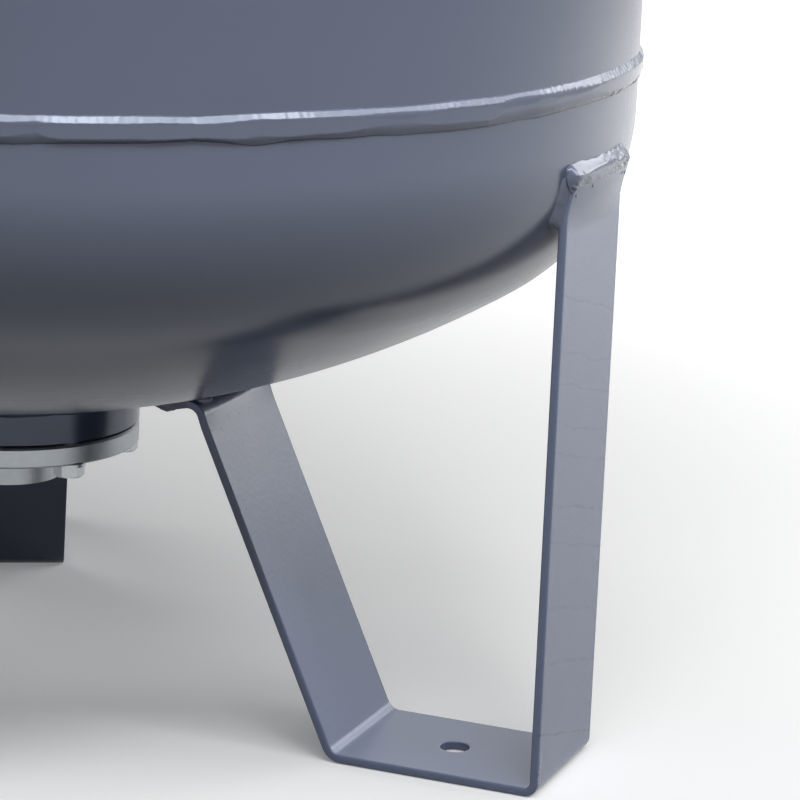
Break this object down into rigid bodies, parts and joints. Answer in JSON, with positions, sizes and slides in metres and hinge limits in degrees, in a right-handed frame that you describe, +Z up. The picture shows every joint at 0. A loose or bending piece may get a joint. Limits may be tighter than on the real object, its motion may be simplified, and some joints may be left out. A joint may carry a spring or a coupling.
{
  "type": "pressure tank",
  "caption": "Upright domed steel pressure tank on bent flat-bar legs, with a bolted water connection below and a capped gas valve on top.",
  "frame": {"origin": "on the tank's axis at floor level, in the middle of the circle through the anchor holes", "axes": "+Z up along the tank's axis, +X out through leg_1"},
  "size_m": [0.6056, 0.6044, 1.398],
  "materials": {
    "tank_paint": "satin enamel with a faint orange peel",
    "weld_paint": "satin enamel over a weld bead",
    "flange_steel": "zinc plated",
    "bolt_steel": "zinc plated",
    "bladder_rubber": "moulded",
    "valve_brass": "turned",
    "spring_steel": "drawn wire",
    "seal_rubber": "moulded",
    "cap_plastic": "ribbed moulding"
  },
  "bodies": {
    "tank": {"shell": "tank_paint", "bottom_head": "tank_paint", "top_head": "tank_paint", "leg_1": "tank_paint", "leg_2": "tank_paint", "leg_3": "tank_paint", "flange_ring": "tank_paint", "valve_boss": "tank_paint", "shell_seam_weld": "weld_paint", "lower_girth_weld": "weld_paint", "upper_girth_weld": "weld_paint", "leg_1_outer_weld": "weld_paint", "leg_1_inner_weld": "weld_paint", "leg_2_outer_weld": "weld_paint", "leg_2_inner_weld": "weld_paint", "leg_3_outer_weld": "weld_paint", "leg_3_inner_weld": "weld_paint", "flange_ring_weld": "weld_paint", "valve_boss_weld": "weld_paint", "connection_flange": "flange_steel", "flange_bolts": "bolt_steel", "flange_washers": "bolt_steel", "bladder": "bladder_rubber", "valve_body": "valve_brass", "valve_core": "valve_brass", "valve_spring": "spring_steel", "valve_body_seal": "seal_rubber"},
    "cap": {"valve_cap": "cap_plastic", "valve_cap_seal": "seal_rubber"},
    "pin": {"valve_pin": "valve_brass"}
  },
  "joints": [
    {"name": "cap_lift", "type": "slide", "parent": "tank", "child": "cap", "axis": [0, 0, 1], "range_m": [0, 0.03]},
    {"name": "pin_press", "type": "slide", "parent": "tank", "child": "pin", "axis": [0, 0, 1], "range_m": [-0.0012, 0], "stiffness_N_per_m": 800, "springref_m": 0.002, "deforming": ["valve_spring"]}
  ]
}
